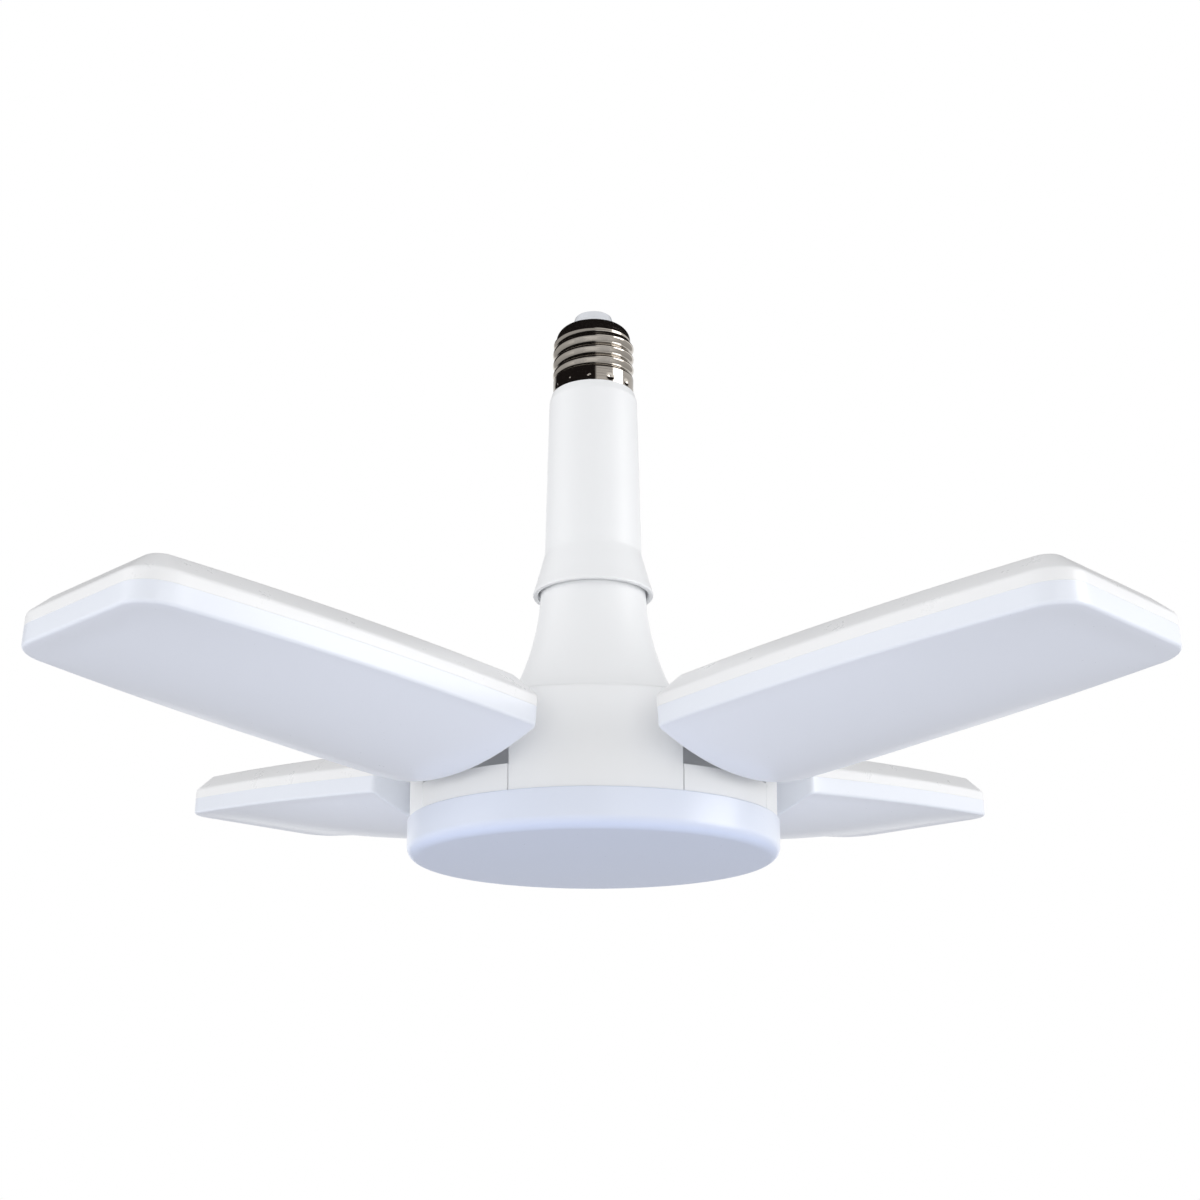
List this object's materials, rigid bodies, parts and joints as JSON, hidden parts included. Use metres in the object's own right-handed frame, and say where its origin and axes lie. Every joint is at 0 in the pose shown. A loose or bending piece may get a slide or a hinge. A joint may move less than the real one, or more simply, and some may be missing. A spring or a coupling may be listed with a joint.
{
  "type": "deformable garage light",
  "caption": "Screw-cap ceiling light with a round centre lamp and folding light panels hinged between the legs of a trumpet-shaped housing.",
  "frame": {"origin": "centre of the flat top of the cap's centre contact, where the lampholder's contact meets it", "axes": "+Z along the lamp axis, out of the cap and up into the lampholder; the panels lie along the diagonals between +X and +Y, and -Y is the side that faces the picture's viewer"},
  "size_m": [0.2968, 0.2968, 0.1817],
  "materials": {
    "contact": "tinned",
    "insulator": "gloss",
    "shell": "nickel plated",
    "housing": "satin white",
    "lens": "milky, satin",
    "board": "white solder mask",
    "driver": "green solder mask",
    "chips": "phosphor",
    "steel": "zinc plated",
    "capacitor": "sleeve",
    "transformer": "tape",
    "lead": "insulation",
    "red_lead": "insulation"
  },
  "bodies": {
    "cap_and_neck": {"centre_contact": "contact", "cap_insulator": "insulator", "screw_shell": "shell", "neck_housing": "housing", "supply_leads": "lead"},
    "lamp_body": {"swivel_ring": "housing", "ring_screws": "steel", "lower_housing": "housing", "light_pan": "housing", "housing_screws": "steel", "driver_board": "driver", "driver_capacitors": "capacitor", "driver_transformer": "transformer", "driver_terminal": "insulator", "board_leads": "red_lead", "centre_board": "board", "centre_chips": "chips", "centre_diffuser": "lens", "hinge_pin_1": "steel", "hinge_washers_1": "steel", "hinge_pin_2": "steel", "hinge_washers_2": "steel", "hinge_pin_3": "steel", "hinge_washers_3": "steel", "hinge_pin_4": "steel", "hinge_washers_4": "steel"},
    "panel_1": {"hinge_arm_1": "steel", "panel_case_1": "housing", "panel_board_1": "board", "panel_chips_1": "chips", "panel_screws_1": "steel", "panel_diffuser_1": "lens"},
    "panel_2": {"hinge_arm_2": "steel", "panel_case_2": "housing", "panel_board_2": "board", "panel_chips_2": "chips", "panel_screws_2": "steel", "panel_diffuser_2": "lens"},
    "panel_3": {"hinge_arm_3": "steel", "panel_case_3": "housing", "panel_board_3": "board", "panel_chips_3": "chips", "panel_screws_3": "steel", "panel_diffuser_3": "lens"},
    "panel_4": {"hinge_arm_4": "steel", "panel_case_4": "housing", "panel_board_4": "board", "panel_chips_4": "chips", "panel_screws_4": "steel", "panel_diffuser_4": "lens"}
  },
  "joints": [
    {"name": "neck_swivel", "type": "hinge", "parent": "cap_and_neck", "child": "lamp_body", "pos_m": [0, 0, -0.08551], "axis": [0, 0, 1], "range_deg": [-165, 165]},
    {"name": "panel_fold_1", "type": "hinge", "parent": "lamp_body", "child": "panel_1", "pos_m": [-0.03465, -0.03465, -0.14451], "axis": [-0.7071, 0.7071, 0], "range_deg": [-5, 85]},
    {"name": "panel_fold_2", "type": "hinge", "parent": "lamp_body", "child": "panel_2", "pos_m": [0.03465, -0.03465, -0.14451], "axis": [-0.7071, -0.7071, 0], "range_deg": [-5, 85]},
    {"name": "panel_fold_3", "type": "hinge", "parent": "lamp_body", "child": "panel_3", "pos_m": [0.03465, 0.03465, -0.14451], "axis": [0.7071, -0.7071, 0], "range_deg": [-5, 85]},
    {"name": "panel_fold_4", "type": "hinge", "parent": "lamp_body", "child": "panel_4", "pos_m": [-0.03465, 0.03465, -0.14451], "axis": [0.7071, 0.7071, 0], "range_deg": [-5, 85]}
  ]
}
